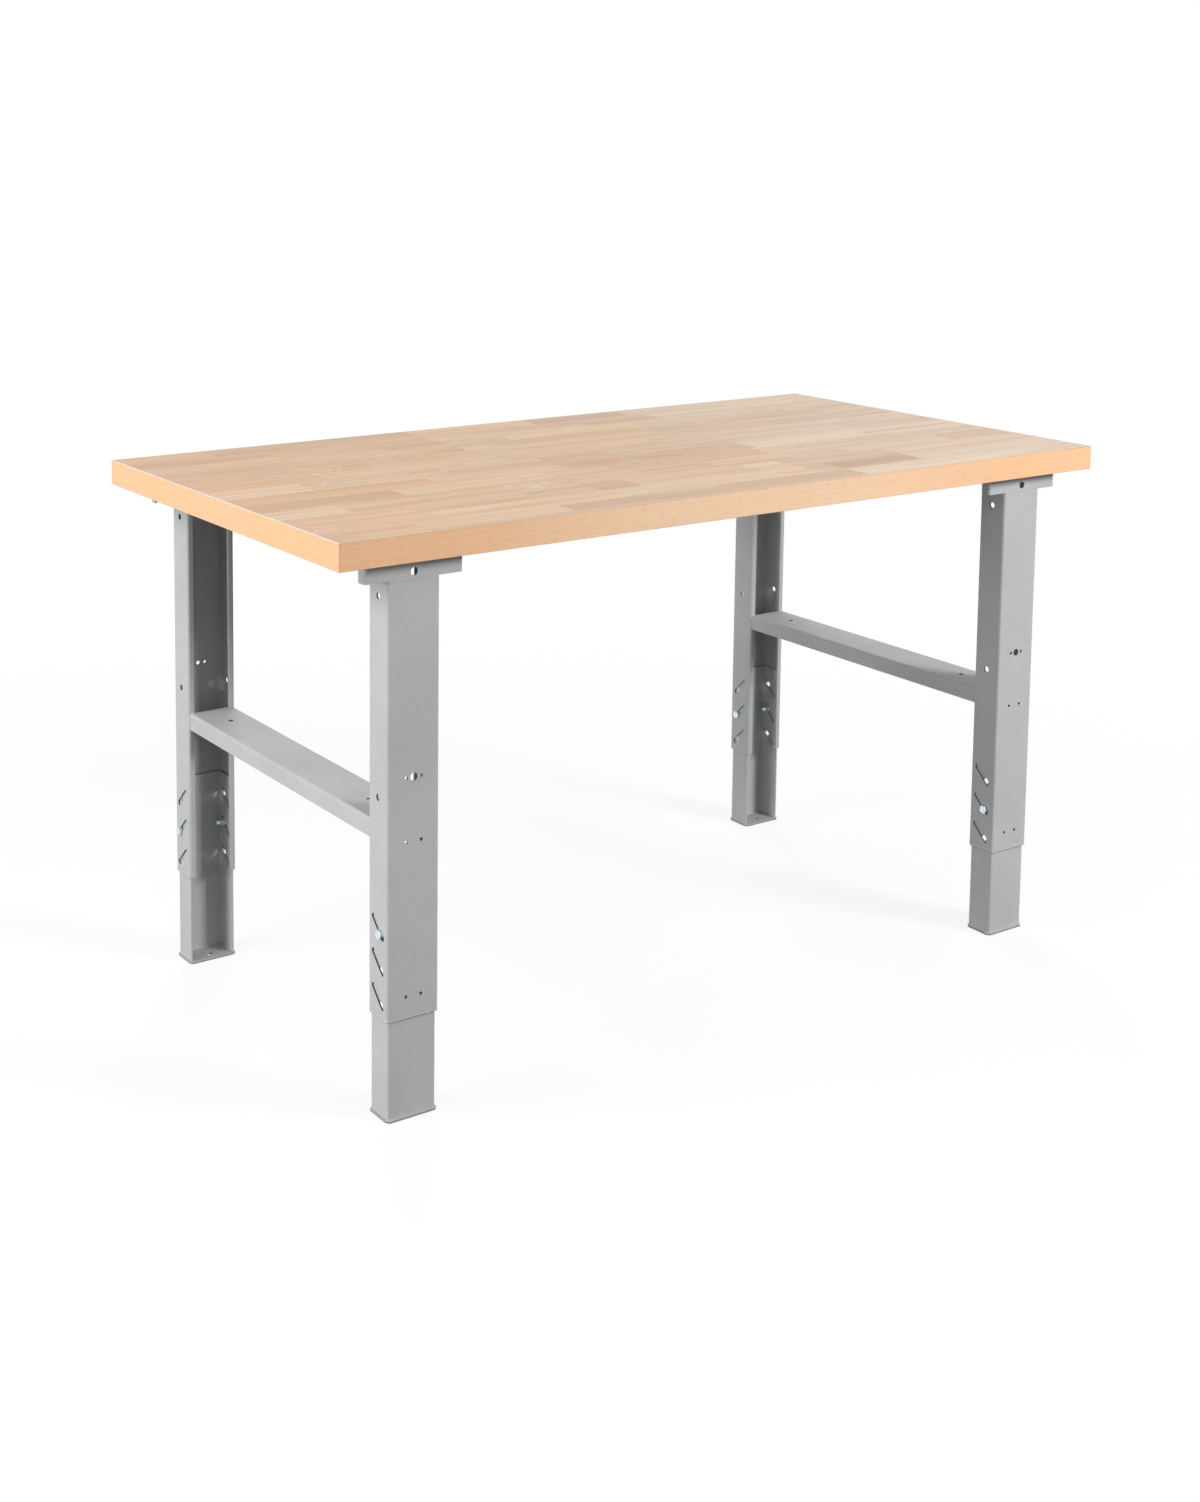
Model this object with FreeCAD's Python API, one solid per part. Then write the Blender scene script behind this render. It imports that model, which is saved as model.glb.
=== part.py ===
import FreeCAD, Part
import math
import os

# Height-adjustable workbench. Millimetres, +X along the worktop, -Y to the front, +Z up,
# origin on the floor under the middle of the worktop.

# Worktop: a core board faced with wood strips, backed below and banded on its four edges
TOP_LENGTH = 1500.0
TOP_DEPTH = 750.0
TOP_THICKNESS = 40.0
WORK_HEIGHT = 855.0
SURFACE_THICKNESS = 1.5
BACKING_THICKNESS = 1.2
BAND_THICKNESS = 2.0
BAND_ARRIS = 0.8

# How far the worktop stands out over the legs of the two welded end frames
END_OVERHANG = 95.0
LONG_SIDE_OVERHANG = 30.0

# Upper leg: a lipped channel with its open side to the middle of the bench, its end above the floor
LEG_WIDTH = 85.0
LEG_DEPTH = 53.0
LEG_LIP = 10.5
LEG_SHEET = 2.5
LEG_BEND = 2.0
UPPER_LEG_END = 149.0
UPPER_SLOT_FROM_END = 30.7

# Slanted slots, the same in the flanges of the upper and of the lower legs
SLOT_COUNT = 3
SLOT_PITCH = 51.3
SLOT_WIDTH = 9.0
SLOT_RUN = 24.5
SLOT_ANGLE = 45.0

# Lower leg: a plain channel that slides inside the upper leg, on a welded foot plate
SLIDE_GAP = 0.4
LOWER_LEG_BEND = 1.0
LOWER_LEG_HEAD = 41.7
FOOT_THICKNESS = 3.0
FOOT_CHAMFER = 5.0
FOOT_HOLE = 10.0
FOOT_HOLE_INSET = 35.0

# Place of the clamping bolts at rest: from the middle of the slots towards the web
BOLT_REST_SHIFT = 7.5
BOLT_GAP = 0.3
BOLT_DIAMETER = 8.0
BOLT_LENGTH = 20.0
BOLT_CHAMFER = 0.8
HEX_ACROSS_FLATS = 13.0
HEX_CROWN_SHARE = 0.94
HEX_CROWN_ANGLE = 30.0
HEAD_HEIGHT = 5.3
NUT_HEIGHT = 6.5
NUT_BORE_GAP = 0.05
WASHER_DIAMETER = 16.0
WASHER_BORE_GAP = 0.2
WASHER_THICKNESS = 1.6

# Holes for accessories in the upper legs: heights above the lower end of the leg, and one from its top
FRONT_WEB_HOLE = 12.0
REAR_WEB_HOLE = 7.0
WEB_SCREW_HOLE = 5.0
WEB_SCREW_SPACING = 25.0
WEB_HOLE_HEIGHT = 352.5
WEB_PAIR_HIGH = 259.5
WEB_PAIR_LOW = 32.7
FLANGE_HOLE = 10.0
FLANGE_HOLE_FROM_TOP = 52.0
FLANGE_HOLE_LOW = 322.5

# Top rail: a plate under the worktop, folded down at both ends, with short side returns
RAIL_WIDTH = 162.0
RAIL_SHEET = 3.0
RAIL_BEND = 2.0
RAIL_DROP = 30.0
RAIL_RETURN = 16.0
RAIL_HOLE = 12.0
RAIL_HOLE_DROP = 20.0

# Crossbar: a channel open downwards, welded between the lips of two upper legs
BAR_HEIGHT = 27.5
BAR_WIDTH = 80.0
BAR_SHEET = 2.5
BAR_BEND = 2.0
BAR_TOP = 433.0
BAR_HOLE = 9.0
BAR_HOLE_FROM_END = 69.5

# Screws that hold the worktop to the rails. The thread bites into the board, so it is drawn at its root
SCREW_NECK = 5.0
SCREW_THREAD_ROOT = 3.0
SCREW_LENGTH = 30.0
SCREW_HEX = 10.0
SCREW_HEAD = 4.0
SCREW_TIP_LENGTH = 6.0
SCREW_TIP_DIAMETER = 0.5
SCREW_FROM_EDGE = 19.0
SCREW_FROM_END = 75.0
SCREW_GAP = 0.1
SCREW_CLEARANCE_HOLE = 8.0
PILOT_RESERVE = 1.0

# One overrun for every cutter that passes right through a wall
OVERRUN = 1.0

# Places that follow from the sizes above
TOP_UNDERSIDE = WORK_HEIGHT - TOP_THICKNESS
RAIL_UNDERSIDE = TOP_UNDERSIDE - RAIL_SHEET
RAIL_LOWER_EDGE = TOP_UNDERSIDE - RAIL_DROP
UPPER_LEG_LENGTH = RAIL_UNDERSIDE - UPPER_LEG_END
LEG_X = TOP_LENGTH / 2 - END_OVERHANG - LEG_WIDTH / 2
WEB_Y = TOP_DEPTH / 2 - LONG_SIDE_OVERHANG
SLOT_MIDDLE = LEG_DEPTH / 2
LOWER_WEB = LEG_SHEET + SLIDE_GAP
LOWER_LEG_WIDTH = LEG_WIDTH - 2 * LOWER_WEB
LOWER_LEG_DEPTH = LEG_DEPTH - LEG_SHEET - LEG_BEND - LOWER_WEB
UPPER_SLOTS = [UPPER_LEG_END + UPPER_SLOT_FROM_END + step * SLOT_PITCH for step in range(SLOT_COUNT)]
SLOT_RISE = SLOT_RUN * math.tan(math.radians(SLOT_ANGLE))
BOLT_DROP = BOLT_REST_SHIFT * math.tan(math.radians(SLOT_ANGLE))
LOWER_SLOTS = [height - 2 * BOLT_DROP for height in UPPER_SLOTS]
LOWER_LEG_TOP = LOWER_SLOTS[-1] + LOWER_LEG_HEAD

# Legs whose bolts sit in the top pair of slots; on the others they sit in the middle pair
TOP_SLOT_LEGS = ("front_left",)
SIDE = {"left": -1, "right": 1}


def vector(x, y, z):
    return FreeCAD.Vector(x, y, z)


def box(x_low, x_high, y_low, y_high, z_low, z_high):
    size = (x_high - x_low, y_high - y_low, z_high - z_low)
    return Part.makeBox(size[0], size[1], size[2], vector(x_low, y_low, z_low))


def rod(diameter, start, direction, length):
    return Part.makeCylinder(diameter / 2, length, start, direction)


def hexagon(across_flats, start, direction, height, up, crowned_ends):
    """Hexagonal prism with a corner along the up vector, turned off round at the crowned ends.

    crowned_ends holds 0 for the end at the start and 1 for the far end.
    """
    side = direction.cross(up)
    radius = across_flats / 2 / math.cos(math.pi / 6)
    corners = []
    for step in range(7):
        angle = step * math.pi / 3
        corners.append(start + up * (radius * math.cos(angle)) + side * (radius * math.sin(angle)))
    prism = Part.Face(Part.makePolygon(corners)).extrude(direction * height)
    crown = across_flats * HEX_CROWN_SHARE / 2
    drop = (radius - crown) * math.tan(math.radians(HEX_CROWN_ANGLE))
    outline = [(0, 0), (crown, 0), (radius, drop)] if 0 in crowned_ends else [(0, 0), (radius, 0)]
    outline += [(radius, height - drop), (crown, height)] if 1 in crowned_ends else [(radius, height)]
    outline += [(0, height), (0, 0)]
    points = [start + up * across + direction * along for across, along in outline]
    return prism.common(Part.Face(Part.makePolygon(points)).revolve(start, direction, 360))


def cut_all(shape, cutters):
    return shape.cut(Part.makeCompound(cutters)) if cutters else shape


def fillet_edges(shape, radius, wanted):
    """Round the edges whose middle point passes the test."""
    edges = []
    for edge in shape.Edges:
        middle = edge.valueAt((edge.FirstParameter + edge.LastParameter) / 2)
        if wanted(middle):
            edges.append(edge)
    return shape.makeFillet(radius, edges)


def folded_sheet(corners, sheet, bend, place, sweep):
    """Sheet folded at right angles and swept along a vector.

    corners are the outer corner points, each bend turning left; bend is the inner radius;
    place(a, b) puts a profile point into space.
    """
    outer_radius = bend + sheet
    points = [vector(a, b, 0) for a, b in corners]
    along = [(end - start).normalize() for start, end in zip(points, points[1:])]
    left = [vector(-way.y, way.x, 0) for way in along]
    outer = [("point", points[0])]
    inner = [("point", points[0] + left[0] * sheet)]
    for corner, way_in, way_out in zip(points[1:], along, along[1:]):
        centre = corner - way_in * outer_radius + way_out * outer_radius
        across = (corner - centre).normalize()
        for chain, radius in ((outer, outer_radius), (inner, bend)):
            chain.append(("point", centre - way_out * radius))
            chain.append(("arc", centre + across * radius))
            chain.append(("point", centre + way_in * radius))
    outer.append(("point", points[-1]))
    inner.append(("point", points[-1] + left[-1] * sheet))
    loop = outer + inner[::-1] + outer[:1]
    edges = []
    index = 0
    while index < len(loop) - 1:
        start = place(loop[index][1].x, loop[index][1].y)
        if loop[index + 1][0] == "arc":
            through = place(loop[index + 1][1].x, loop[index + 1][1].y)
            end = place(loop[index + 2][1].x, loop[index + 2][1].y)
            edges.append(Part.Arc(start, through, end).toShape())
            index += 2
        else:
            end = place(loop[index + 1][1].x, loop[index + 1][1].y)
            edges.append(Part.makeLine(start, end))
            index += 1
    return Part.Face(Part.Wire(edges)).extrude(sweep)


def channel_corners(width, depth, lip):
    """Outer corners of a channel with its web on b = 0, with or without lips."""
    half = width / 2
    corners = [(-half, depth), (-half, 0), (half, 0), (half, depth)]
    if lip:
        corners = [(-half + lip, depth)] + corners + [(half - lip, depth)]
    return corners


def slanted_slot(middle_y, middle_z, way, x_low, x_high):
    """Cutter for one slot; way is 1 where it rises to the open side and -1 where it falls."""
    half_run = SLOT_RUN / 2
    half_rise = way * SLOT_RISE / 2
    radius = SLOT_WIDTH / 2
    length = math.hypot(half_run, half_rise)
    along = vector(0, half_run / length, half_rise / length)
    across = vector(0, -along.z, along.y)
    low = vector(x_low, middle_y - half_run, middle_z - half_rise)
    high = vector(x_low, middle_y + half_run, middle_z + half_rise)
    edges = [
        Part.makeLine(low + across * radius, high + across * radius),
        Part.Arc(high + across * radius, high + along * radius, high - across * radius).toShape(),
        Part.makeLine(high - across * radius, low - across * radius),
        Part.Arc(low - across * radius, low - along * radius, low + across * radius).toShape(),
    ]
    return Part.Face(Part.Wire(edges)).extrude(vector(x_high - x_low, 0, 0))


def at_leg(shape, end, side):
    """Put a piece built about a web at y = 0 to one of the four legs."""
    placed = shape.copy()
    web_y = -WEB_Y
    if end == "rear":
        placed = placed.mirror(vector(0, 0, 0), vector(0, 1, 0))
        web_y = WEB_Y
    placed.translate(vector(SIDE[side] * LEG_X, web_y, 0))
    return placed


def across_leg(diameter, y, z):
    """Cutter along X through both flanges."""
    half = LEG_WIDTH / 2 + OVERRUN
    return rod(diameter, vector(-half, y, z), vector(1, 0, 0), 2 * half)


def through_web(diameter, x, z):
    """Cutter along Y through the web only."""
    return rod(diameter, vector(x, -OVERRUN, z), vector(0, 1, 0), LEG_SHEET + 2 * OVERRUN)


def upper_leg(web_hole):
    """Lipped channel; its web stops under the folded end of the rail, its flanges run on up."""
    corners = channel_corners(LEG_WIDTH, LEG_DEPTH, LEG_LIP)

    def place(a, b):
        return vector(a, b, UPPER_LEG_END)

    leg = folded_sheet(corners, LEG_SHEET, LEG_BEND, place, vector(0, 0, UPPER_LEG_LENGTH))
    half = LEG_WIDTH / 2 + OVERRUN
    above = RAIL_UNDERSIDE + OVERRUN
    cutters = [
        box(-half, half, -OVERRUN, RAIL_SHEET, RAIL_LOWER_EDGE, above),
        box(-half, half, -OVERRUN, RAIL_SHEET + RAIL_BEND, RAIL_UNDERSIDE - RAIL_BEND, above),
    ]
    for height in UPPER_SLOTS:
        cutters.append(slanted_slot(SLOT_MIDDLE, height, 1, -half, half))
    for height in (RAIL_UNDERSIDE - FLANGE_HOLE_FROM_TOP, UPPER_LEG_END + FLANGE_HOLE_LOW):
        cutters.append(across_leg(FLANGE_HOLE, SLOT_MIDDLE, height))
    cutters.append(through_web(web_hole, 0, UPPER_LEG_END + WEB_HOLE_HEIGHT))
    for height in (WEB_HOLE_HEIGHT, WEB_PAIR_HIGH, WEB_PAIR_LOW):
        for side in SIDE.values():
            x = side * WEB_SCREW_SPACING / 2
            cutters.append(through_web(WEB_SCREW_HOLE, x, UPPER_LEG_END + height))
    return cut_all(leg, cutters)


def lower_leg():
    """Plain channel as deep as the flat of the upper leg's flanges, slotted against its slots."""
    corners = channel_corners(LOWER_LEG_WIDTH, LOWER_LEG_DEPTH, 0)

    def place(a, b):
        return vector(a, b + LOWER_WEB, FOOT_THICKNESS)

    sweep = vector(0, 0, LOWER_LEG_TOP - FOOT_THICKNESS)
    leg = folded_sheet(corners, LEG_SHEET, LOWER_LEG_BEND, place, sweep)
    half = LOWER_LEG_WIDTH / 2 + OVERRUN
    cutters = [slanted_slot(SLOT_MIDDLE, height, -1, -half, half) for height in LOWER_SLOTS]
    return cut_all(leg, cutters)


def foot_plate():
    """Plate with the outline of the upper leg, its corners cut off, and one anchor hole."""
    half = LEG_WIDTH / 2
    corners = []
    for x, y, along_x in ((-half, 0, 1), (half, 0, -1), (half, LEG_DEPTH, -1), (-half, LEG_DEPTH, 1)):
        inward_y = 1 if y == 0 else -1
        pair = [vector(x, y + inward_y * FOOT_CHAMFER, 0), vector(x + along_x * FOOT_CHAMFER, y, 0)]
        corners += pair if along_x * inward_y > 0 else pair[::-1]
    plate = Part.Face(Part.makePolygon(corners + corners[:1])).extrude(vector(0, 0, FOOT_THICKNESS))
    hole = rod(FOOT_HOLE, vector(0, FOOT_HOLE_INSET, -OVERRUN), vector(0, 0, 1), FOOT_THICKNESS + 2 * OVERRUN)
    return plate.cut(hole)


def bolt_place(leg_name, side):
    """Where a bolt axis meets the outer face of a flange, and the way into the leg."""
    slot = -1 if leg_name in TOP_SLOT_LEGS else SLOT_COUNT // 2
    y = SLOT_MIDDLE - BOLT_REST_SHIFT
    z = UPPER_SLOTS[slot] - BOLT_DROP
    return vector(side * LEG_WIDTH / 2, y, z), vector(-side, 0, 0)


def clamping_bolt(leg_name, side):
    face, inward = bolt_place(leg_name, side)
    seat = face - inward * BOLT_GAP
    head = hexagon(HEX_ACROSS_FLATS, seat, -inward, HEAD_HEIGHT, vector(0, 0, 1), [1])
    shank = rod(BOLT_DIAMETER, seat, inward, BOLT_LENGTH - BOLT_CHAMFER)
    tip = Part.makeCone(
        BOLT_DIAMETER / 2,
        BOLT_DIAMETER / 2 - BOLT_CHAMFER,
        BOLT_CHAMFER,
        seat + inward * (BOLT_LENGTH - BOLT_CHAMFER),
        inward,
    )
    return head.fuse([shank, tip]).removeSplitter()


def washer_seat(leg_name, side):
    """Where the washer starts, just inside the flange of the lower leg."""
    face, inward = bolt_place(leg_name, side)
    return face + inward * (LOWER_WEB + LEG_SHEET + BOLT_GAP), inward


def clamping_washer(leg_name, side):
    seat, inward = washer_seat(leg_name, side)
    disc = rod(WASHER_DIAMETER, seat, inward, WASHER_THICKNESS)
    bore_start = seat - inward * OVERRUN
    bore = rod(BOLT_DIAMETER + 2 * WASHER_BORE_GAP, bore_start, inward, WASHER_THICKNESS + 2 * OVERRUN)
    return disc.cut(bore)


def clamping_nut(leg_name, side):
    seat, inward = washer_seat(leg_name, side)
    seat = seat + inward * WASHER_THICKNESS
    nut = hexagon(HEX_ACROSS_FLATS, seat, inward, NUT_HEIGHT, vector(0, 0, 1), [0, 1])
    bore = rod(BOLT_DIAMETER + 2 * NUT_BORE_GAP, seat - inward * OVERRUN, inward, NUT_HEIGHT + 2 * OVERRUN)
    return nut.cut(bore)


def top_rail(side):
    """Plate from front to rear, folded down over the legs, with a return at each corner.

    The returns stop short of the plate, by the radius of the fold.
    """
    x = SIDE[side] * LEG_X
    half = RAIL_WIDTH / 2
    radius = RAIL_BEND + RAIL_SHEET
    fold = [(WEB_Y, -RAIL_DROP), (WEB_Y, 0), (-WEB_Y, 0), (-WEB_Y, -RAIL_DROP)]

    def place_fold(a, b):
        return vector(x - half, a, TOP_UNDERSIDE + b)

    plate = folded_sheet(fold, RAIL_SHEET, RAIL_BEND, place_fold, vector(RAIL_WIDTH, 0, 0))
    outline = box(x - half, x + half, -WEB_Y, WEB_Y, RAIL_LOWER_EDGE, TOP_UNDERSIDE)
    middle_height = TOP_UNDERSIDE - RAIL_DROP / 2
    outline = fillet_edges(outline, radius, lambda point: abs(point.z - middle_height) < RAIL_SHEET)
    rail = plate.common(outline)
    corners = channel_corners(RAIL_WIDTH, RAIL_RETURN, 0)
    cutters = []
    for end in (-1, 1):

        def place_return(a, b, end=end):
            return vector(x - end * a, end * (WEB_Y - b), RAIL_LOWER_EDGE)

        sweep = vector(0, 0, RAIL_DROP - radius)
        rail = rail.fuse(folded_sheet(corners, RAIL_SHEET, RAIL_BEND, place_return, sweep))
        hole_start = vector(x, end * (WEB_Y + OVERRUN), TOP_UNDERSIDE - RAIL_HOLE_DROP)
        cutters.append(rod(RAIL_HOLE, hole_start, vector(0, -end, 0), RAIL_SHEET + 2 * OVERRUN))
    for screw_x, screw_y in screw_places(side):
        start = vector(screw_x, screw_y, RAIL_UNDERSIDE - OVERRUN)
        cutters.append(rod(SCREW_CLEARANCE_HOLE, start, vector(0, 0, 1), RAIL_SHEET + 2 * OVERRUN))
    return cut_all(rail.removeSplitter(), cutters)


def screw_places(side):
    x = SIDE[side] * LEG_X
    reach_x = RAIL_WIDTH / 2 - SCREW_FROM_EDGE
    reach_y = WEB_Y - SCREW_FROM_END
    return [(x + a * reach_x, b * reach_y) for a in (-1, 1) for b in (-1, 0, 1)]


def crossbar(side):
    """Channel open downwards from lip to lip, with two holes in its top."""
    x = SIDE[side] * LEG_X
    reach = WEB_Y - LEG_DEPTH
    corners = channel_corners(BAR_WIDTH, BAR_HEIGHT, 0)

    def place(a, b):
        return vector(x + a, -reach, BAR_TOP - b)

    bar = folded_sheet(corners, BAR_SHEET, BAR_BEND, place, vector(0, 2 * reach, 0))
    cutters = []
    for end in (-1, 1):
        start = vector(x, end * (reach - BAR_HOLE_FROM_END), BAR_TOP + OVERRUN)
        cutters.append(rod(BAR_HOLE, start, vector(0, 0, -1), BAR_SHEET + 2 * OVERRUN))
    return cut_all(bar, cutters)


def worktop_screw(x, y):
    """Hexagon head, neck through the rail, and the root of the thread with its tip in the board."""
    seat = vector(x, y, RAIL_UNDERSIDE)
    head = hexagon(SCREW_HEX, seat, vector(0, 0, -1), SCREW_HEAD, vector(0, 1, 0), [1])
    neck = rod(SCREW_NECK, seat, vector(0, 0, 1), RAIL_SHEET - SCREW_GAP)
    thread_end = SCREW_LENGTH - SCREW_TIP_LENGTH
    thread = rod(SCREW_THREAD_ROOT, seat, vector(0, 0, 1), thread_end)
    tip_start = seat + vector(0, 0, thread_end)
    radii = (SCREW_THREAD_ROOT / 2, SCREW_TIP_DIAMETER / 2)
    tip = Part.makeCone(radii[0], radii[1], SCREW_TIP_LENGTH, tip_start, vector(0, 0, 1))
    return head.fuse([neck, thread, tip]).removeSplitter()


def screw_group(side):
    return Part.makeCompound([worktop_screw(x, y) for x, y in screw_places(side)])


def with_pilot_holes(board, top):
    """Cut the screw holes out of a board, up to the given height."""
    diameter = SCREW_THREAD_ROOT + 2 * SCREW_GAP
    cutters = []
    for side in SIDE:
        for x, y in screw_places(side):
            start = vector(x, y, TOP_UNDERSIDE - OVERRUN)
            cutters.append(rod(diameter, start, vector(0, 0, 1), top - TOP_UNDERSIDE + OVERRUN))
    return cut_all(board, cutters)


def inner_board(z_low, z_high):
    half_x = TOP_LENGTH / 2 - BAND_THICKNESS
    half_y = TOP_DEPTH / 2 - BAND_THICKNESS
    return box(-half_x, half_x, -half_y, half_y, z_low, z_high)


def worktop_core():
    board = inner_board(TOP_UNDERSIDE + BACKING_THICKNESS, WORK_HEIGHT - SURFACE_THICKNESS)
    return with_pilot_holes(board, RAIL_UNDERSIDE + SCREW_LENGTH + PILOT_RESERVE)


def worktop_surface():
    return inner_board(WORK_HEIGHT - SURFACE_THICKNESS, WORK_HEIGHT)


def worktop_backing():
    board = inner_board(TOP_UNDERSIDE, TOP_UNDERSIDE + BACKING_THICKNESS)
    return with_pilot_holes(board, TOP_UNDERSIDE + BACKING_THICKNESS + OVERRUN)


def end_band(side):
    """Band over the whole depth of an end, all its outer edges rounded."""
    outer = SIDE[side] * TOP_LENGTH / 2
    inner = outer - SIDE[side] * BAND_THICKNESS
    half = TOP_DEPTH / 2
    band = box(min(outer, inner), max(outer, inner), -half, half, TOP_UNDERSIDE, WORK_HEIGHT)

    def outside(point):
        return abs(point.x - outer) < BAND_ARRIS / 2

    return fillet_edges(band, BAND_ARRIS, outside)


def long_band(way):
    """Band between the end bands, its two outer edges rounded."""
    outer = way * TOP_DEPTH / 2
    inner = outer - way * BAND_THICKNESS
    half = TOP_LENGTH / 2 - BAND_THICKNESS
    band = box(-half, half, min(outer, inner), max(outer, inner), TOP_UNDERSIDE, WORK_HEIGHT)

    def outside(point):
        return abs(point.y - outer) < BAND_ARRIS / 2 and abs(point.x) < half - BAND_ARRIS

    return fillet_edges(band, BAND_ARRIS, outside)


def bolted(leg_name, maker, end, side):
    """The two pieces of one kind that clamp a leg, one on each flange."""
    pair = Part.makeCompound([maker(leg_name, way) for way in (-1, 1)])
    return at_leg(pair, end, side)


def build():
    nodes = {
        "worktop_core": worktop_core(),
        "worktop_surface": worktop_surface(),
        "worktop_backing": worktop_backing(),
        "edge_band_left": end_band("left"),
        "edge_band_right": end_band("right"),
        "edge_band_front": long_band(-1),
        "edge_band_rear": long_band(1),
    }
    for side in SIDE:
        nodes[side + "_top_rail"] = top_rail(side)
        nodes[side + "_crossbar"] = crossbar(side)
        nodes[side + "_worktop_screws"] = screw_group(side)
        for end, web_hole in (("front", FRONT_WEB_HOLE), ("rear", REAR_WEB_HOLE)):
            leg = end + "_" + side
            nodes[leg + "_upper_leg"] = at_leg(upper_leg(web_hole), end, side)
            nodes[leg + "_lower_leg"] = at_leg(lower_leg(), end, side)
            nodes[leg + "_foot_plate"] = at_leg(foot_plate(), end, side)
            nodes[leg + "_clamping_bolts"] = bolted(leg, clamping_bolt, end, side)
            nodes[leg + "_clamping_washers"] = bolted(leg, clamping_washer, end, side)
            nodes[leg + "_clamping_nuts"] = bolted(leg, clamping_nut, end, side)
    return nodes


os.makedirs("parts", exist_ok=True)
for name, shape in build().items():
    shape.exportStep("parts/" + name + ".step")
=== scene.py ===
"""Looks of the workbench: parquet worktop with beech edges on a powder-coated steel frame.

Metres, +X along the worktop, -Y to the front, +Z up, origin on the floor under the worktop.
"""

import math

import bpy
import numpy as np
from mathutils import Matrix, Vector

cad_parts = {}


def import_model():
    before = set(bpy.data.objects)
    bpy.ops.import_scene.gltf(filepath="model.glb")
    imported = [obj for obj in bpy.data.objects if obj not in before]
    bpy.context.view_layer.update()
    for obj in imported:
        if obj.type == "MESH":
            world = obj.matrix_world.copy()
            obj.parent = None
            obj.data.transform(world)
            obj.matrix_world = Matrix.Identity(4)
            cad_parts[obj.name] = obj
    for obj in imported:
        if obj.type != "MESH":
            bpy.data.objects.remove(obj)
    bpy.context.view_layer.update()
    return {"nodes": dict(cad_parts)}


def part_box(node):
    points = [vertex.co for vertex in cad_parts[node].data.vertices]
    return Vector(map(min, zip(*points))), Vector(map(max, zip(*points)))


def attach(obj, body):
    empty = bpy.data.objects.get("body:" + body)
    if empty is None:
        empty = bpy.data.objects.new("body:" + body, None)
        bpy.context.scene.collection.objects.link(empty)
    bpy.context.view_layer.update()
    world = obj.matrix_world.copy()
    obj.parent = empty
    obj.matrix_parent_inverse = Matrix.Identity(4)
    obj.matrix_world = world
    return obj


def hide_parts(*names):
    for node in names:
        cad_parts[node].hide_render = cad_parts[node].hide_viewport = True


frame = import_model()

MM = 0.001
LEGS = [(end, side) for end in ("front", "rear") for side in ("left", "right")]
SIDES = {"left": -1, "right": 1}
ENDS = {"front": -1, "rear": 1}

# Half length and half depth of the worktop, in millimetres
HALF_LENGTH = 750
HALF_DEPTH = 375

# Sizes that the added pieces and the finishes share with the frame, in metres
LEG_X = 612.5 * MM
WEB_Y = 345.0 * MM
LIP_Y = 292.0 * MM
LEG_SHEET = 2.5 * MM
FLANGE_MIDDLE = 41.25 * MM
RAIL_LOWER_EDGE = 785.0 * MM
BAR_TOP = 433.0 * MM
BAR_HEIGHT = 27.5 * MM
BAR_HALF_WIDTH = 40.0 * MM
LIP_EDGE = 32.0 * MM
FOOT_TOP = 3.0 * MM
UPPER_LEG_END = 149.0 * MM
LOW_ARRIS = 815.4 * MM
HIGH_ARRIS = 854.1 * MM
BAND_SEAM = 748.0 * MM
LOWER_WEB_INNER_Y = 339.6 * MM
LOWER_INNER_HALF = 37.1 * MM
BEHIND_FRONT = -374.5 * MM

# Reach to both sides of the middle of a 2.5 mm sheet that stays clear of its faces, so that painted
# shade within it shows only on the walls of slots and holes
INSIDE_SHEET = 1.1 * MM


# Meshes


def make_piece(name, points, faces, finish, body, smooth=False):
    """Piece from corner points (n, 3) in metres and faces as rows of corner numbers."""
    mesh = bpy.data.meshes.new(name)
    mesh.from_pydata(points.tolist(), [], faces.tolist())
    mesh.polygons.foreach_set("use_smooth", np.full(len(faces), smooth))
    mesh.materials.append(finish)
    mesh.update()
    piece = bpy.data.objects.new(name, mesh)
    bpy.context.scene.collection.objects.link(piece)
    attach(piece, body)
    return piece


def face_values(piece, name, values):
    """One number for each face, for a material to read."""
    layer = piece.data.attributes.new(name, "FLOAT", "FACE")
    layer.data.foreach_set("value", np.asarray(values, np.float32))


def skin(rings, columns):
    """Closed skin over rings of corner points: quads between the rings, and quads across both end rings.

    The faces point outwards where a ring runs anticlockwise as seen from the last ring's side. The number
    of columns is even.
    """
    ring, column = np.meshgrid(np.arange(rings - 1), np.arange(columns), indexing="ij")
    after = (column + 1) % columns
    quads = [ring * columns + column, ring * columns + after]
    quads += [(ring + 1) * columns + after, (ring + 1) * columns + column]
    walls = np.stack(quads, -1).reshape(-1, 4)
    number = np.arange(columns // 2 - 1)
    across = np.stack([number, number + 1, columns - 2 - number, columns - 1 - number], -1)
    return np.concatenate([across[:, ::-1], walls, across + (rings - 1) * columns])


def join(parts):
    """One pair of arrays from several pairs of points and faces."""
    starts = np.cumsum([0] + [len(points) for points, _ in parts[:-1]])
    points = np.concatenate([points for points, _ in parts])
    faces = np.concatenate([faces + start for (_, faces), start in zip(parts, starts)])
    return points, faces


# Finishes


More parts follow.
